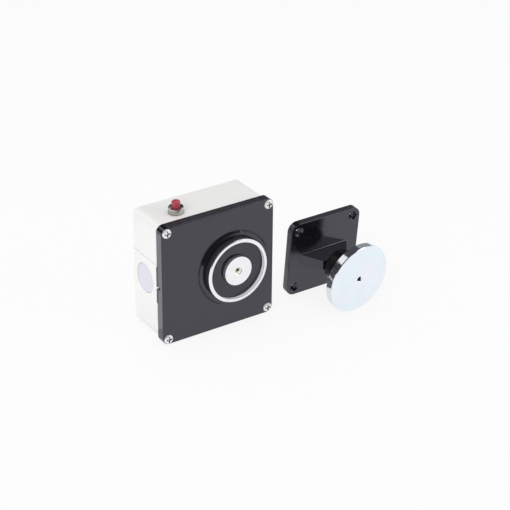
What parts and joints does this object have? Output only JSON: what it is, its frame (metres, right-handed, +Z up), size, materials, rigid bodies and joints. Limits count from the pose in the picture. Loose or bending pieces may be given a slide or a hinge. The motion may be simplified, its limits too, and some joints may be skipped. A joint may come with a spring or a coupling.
{
  "type": "electromagnetic door holder",
  "caption": "Wall unit with a round pot magnet and a release push button, and a swivelling steel keeper disc on a square base that goes on the door to be held open.",
  "frame": {"origin": "middle of the wall unit's back face, where it meets the wall", "axes": "+X to the right as seen from the room, +Y into the wall, +Z up. The keeper stands to the right, on the floor that the wall unit's cover stands on."},
  "size_m": [0.17, 0.0781, 0.0979],
  "materials": {
    "white_box": "satin",
    "black_cover": "gloss",
    "black_keeper": "gloss",
    "magnet_steel": "bright plated",
    "disc_steel": "bright zinc plated",
    "screw_steel": "zinc plated",
    "spring_steel": "drawn",
    "plate_steel": "zinc plated",
    "button_nickel": "nickel plated",
    "resin": "cast resin",
    "bobbin_plastic": "moulded",
    "copper": "enamelled wire",
    "brass": "turned",
    "lilac_rubber": "matt",
    "red_button": "gloss",
    "switch_plastic": "moulded",
    "terminal_plastic": "moulded",
    "red_lead": "sleeved wire",
    "black_lead": "sleeved wire",
    "nylon": "moulded"
  },
  "bodies": {
    "units": {"back_box": "white_box", "cover": "black_cover", "cover_screws": "screw_steel", "cable_grommet": "lilac_rubber", "magnet_pot": "magnet_steel", "potting_ring": "resin", "coil_bobbin": "bobbin_plastic", "coil_winding": "copper", "ejector_spring": "spring_steel", "magnet_plate": "plate_steel", "magnet_lock_washer": "spring_steel", "magnet_screw": "screw_steel", "plate_screws": "screw_steel", "terminal_block": "terminal_plastic", "terminal_clamps": "brass", "terminal_screws": "screw_steel", "terminal_fixings": "screw_steel", "button_bushing": "button_nickel", "button_washer": "button_nickel", "button_nut": "button_nickel", "switch_body": "switch_plastic", "switch_contacts": "brass", "button_spring": "spring_steel", "coil_leads": "red_lead", "switch_leads": "black_lead", "keeper_base": "black_keeper", "swivel_washers": "nylon"},
    "button": {"button_cap": "red_button", "contact_bridge": "brass"},
    "ejector": {"ejector_pin": "brass"},
    "keeper": {"keeper_hub": "black_keeper", "keeper_disc": "disc_steel", "disc_screw": "screw_steel", "swivel_pin": "spring_steel"}
  },
  "joints": [
    {"name": "button_press", "type": "slide", "parent": "units", "child": "button", "axis": [0, 0, -1], "range_m": [0, 0.0025], "stiffness_N_per_m": 600, "springref_m": -0.002, "deforming": ["button_spring"]},
    {"name": "ejector_press", "type": "slide", "parent": "units", "child": "ejector", "axis": [0, 1, 0], "range_m": [0, 0.0015], "stiffness_N_per_m": 900, "springref_m": -0.003, "deforming": ["ejector_spring"]},
    {"name": "keeper_swivel", "type": "hinge", "parent": "units", "child": "keeper", "pos_m": [0.0945, -0.05526, -0.01724], "axis": [0, -0.0954, 0.9954], "range_deg": [-19.8, 10.2]}
  ]
}
